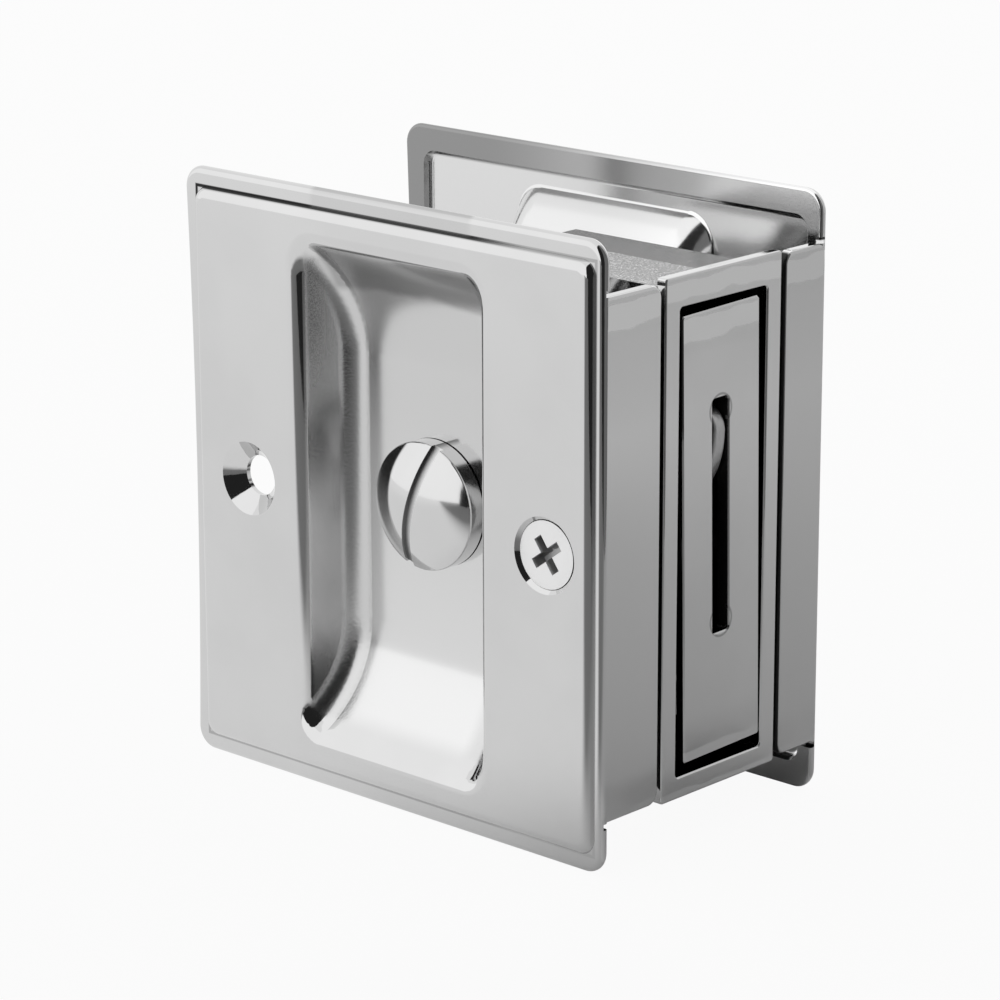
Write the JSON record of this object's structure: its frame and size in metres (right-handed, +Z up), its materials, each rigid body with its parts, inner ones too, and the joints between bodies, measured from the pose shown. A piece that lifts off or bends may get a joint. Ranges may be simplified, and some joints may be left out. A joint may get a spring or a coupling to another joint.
{
  "type": "sliding door lock",
  "caption": "Notch-mount privacy lock for a sliding pocket door: chrome finger-cup plates on both faces, a coin turn and thumb turn that swing a hook bolt, and a rocking edge pull.",
  "frame": {"origin": "middle of the two plates, half way through the door", "axes": "+X toward the door's closing edge, -Y out of the front plate, +Z up along the plates"},
  "size_m": [0.0636, 0.0392, 0.0698],
  "materials": {
    "plate_chrome": "bright polished plating with a faint orange-peel",
    "cast_chrome": "bright plating over an as-cast grain",
    "cast_dark": "duller plating over an as-cast grain",
    "turn_chrome": "bright polished plating",
    "hook_steel": "blanked and tumbled, rough edge",
    "plain_steel": "plain zinc-plated steel",
    "spring_steel": "plain spring steel",
    "screw_steel": "zinc-plated steel",
    "screw_face": "matte nickel-plated face"
  },
  "bodies": {
    "lock": {"front_plate": "plate_chrome", "rear_plate": "plate_chrome", "case_front_half": "cast_chrome", "case_rear_half": "cast_dark", "case_screws": "screw_steel", "pull_pin": "plain_steel", "pull_spring": "spring_steel", "hook_pin": "plain_steel", "hook_sleeves": "plain_steel", "detent_spring": "spring_steel", "front_plate_screw": "screw_face", "rear_plate_screw": "screw_face"},
    "turn": {"coin_turn": "turn_chrome", "spindle": "plain_steel", "crank": "plain_steel", "thumb_turn": "turn_chrome", "turn_clips": "spring_steel"},
    "link": {"link": "plain_steel", "link_rivets": "plain_steel"},
    "hook": {"hook_bolt": "hook_steel"},
    "pull": {"edge_pull": "cast_chrome"}
  },
  "joints": [
    {"name": "turn", "type": "hinge", "parent": "lock", "child": "turn", "pos_m": [0.0016, 0.001, 0], "axis": [0, 1, 0], "range_deg": [0, 75], "deforming": ["detent_spring"]},
    {"name": "link_swing", "type": "hinge", "parent": "turn", "child": "link", "pos_m": [0.00482, 0.001, -0.00622], "axis": [0, 1, 0], "range_deg": [-75, 0]},
    {"name": "hook_swing", "type": "hinge", "parent": "lock", "child": "hook", "pos_m": [0.024, 0.001, -0.004], "axis": [0, 1, 0], "range_deg": [0, 75]},
    {"name": "pull_rock", "type": "hinge", "parent": "lock", "child": "pull", "pos_m": [0.028, 0.001, -0.016], "axis": [0, 1, 0], "range_deg": [0, 20], "stiffness_Nm_per_rad": 0.057, "springref_deg": -20.05, "deforming": ["pull_spring"]}
  ],
  "couplings": [
    {"joint": "link_swing", "follows": "turn", "ratio": -1},
    {"joint": "hook_swing", "follows": "turn", "ratio": 1}
  ]
}
